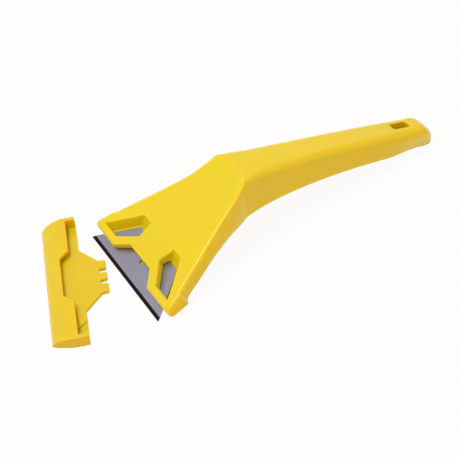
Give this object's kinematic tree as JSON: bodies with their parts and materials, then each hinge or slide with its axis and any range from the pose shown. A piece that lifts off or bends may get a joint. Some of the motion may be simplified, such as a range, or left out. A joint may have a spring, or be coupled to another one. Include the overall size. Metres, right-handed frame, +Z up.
{
  "type": "window scraper",
  "caption": "Hand scraper for glass: flat windowed head holding a trapezoid blade, long bent hollow handle with a hanging hole, and a separate guard that covers the blade.",
  "frame": {"origin": "on the table, under the middle of the blade's cutting edge", "axes": "+X along the tool towards the end of the handle, +Z up from the table, +Y across, towards the far end of the blade"},
  "size_m": [0.2014, 0.0787, 0.0332],
  "materials": {
    "handle_plastic": "satin moulded plastic",
    "guard_plastic": "satin moulded plastic",
    "blade_steel": "ground steel"
  },
  "bodies": {
    "handle": {"handle": "handle_plastic"},
    "blade": {"blade": "blade_steel"},
    "guard": {"blade_guard": "guard_plastic"}
  },
  "joints": [
    {"name": "blade_slide", "type": "slide", "parent": "handle", "child": "blade", "axis": [-0.9285, 0, -0.3714], "range_m": [0, 0.016]},
    {"name": "guard_lift", "type": "slide", "parent": "handle", "child": "guard", "axis": [0, 0, 1], "range_m": [0, 0.05]}
  ]
}
